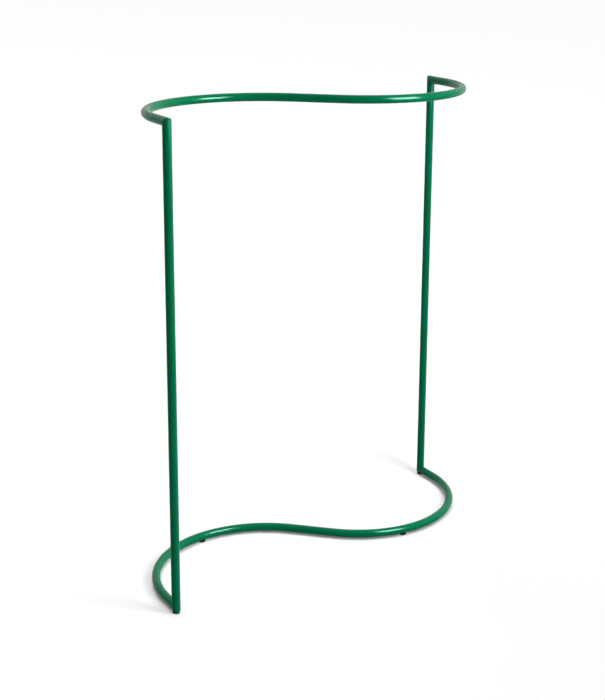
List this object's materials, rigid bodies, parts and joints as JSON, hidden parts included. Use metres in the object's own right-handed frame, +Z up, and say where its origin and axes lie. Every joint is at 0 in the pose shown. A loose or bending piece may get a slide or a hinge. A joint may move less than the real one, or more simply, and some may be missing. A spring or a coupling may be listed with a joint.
{
  "type": "free-standing garment rack",
  "caption": "Free-standing garment rack: an S-bent tube rail at the top and a matching one at the floor, joined by upright posts at their ends.",
  "frame": {"origin": "on the floor, midway between the posts", "axes": "+Z up; X along the long side of the narrowest floor strip that holds the rack, the left post at -X; +Y to the back. The left half of each rail swings to the back and the right half to the front."},
  "size_m": [1.3608, 0.3988, 1.5],
  "materials": {
    "green_coating": "satin powder coating in deep green, with a fine orange-peel texture",
    "cast_elbow": "as cast",
    "screw_steel": "dark oxide on steel, as on a stock set screw",
    "foot_plastic": "moulded black, matt"
  },
  "bodies": {
    "root": {"top_rail": "green_coating", "base_rail": "green_coating", "left_post": "green_coating", "right_post": "green_coating", "top_left_elbow": "cast_elbow", "top_right_elbow": "cast_elbow", "base_left_elbow": "cast_elbow", "base_right_elbow": "cast_elbow", "top_left_screws": "screw_steel", "top_right_screws": "screw_steel", "base_left_screws": "screw_steel", "base_right_screws": "screw_steel", "left_corner_foot": "foot_plastic", "right_corner_foot": "foot_plastic", "left_bend_foot": "foot_plastic", "right_bend_foot": "foot_plastic"}
  },
  "joints": []
}
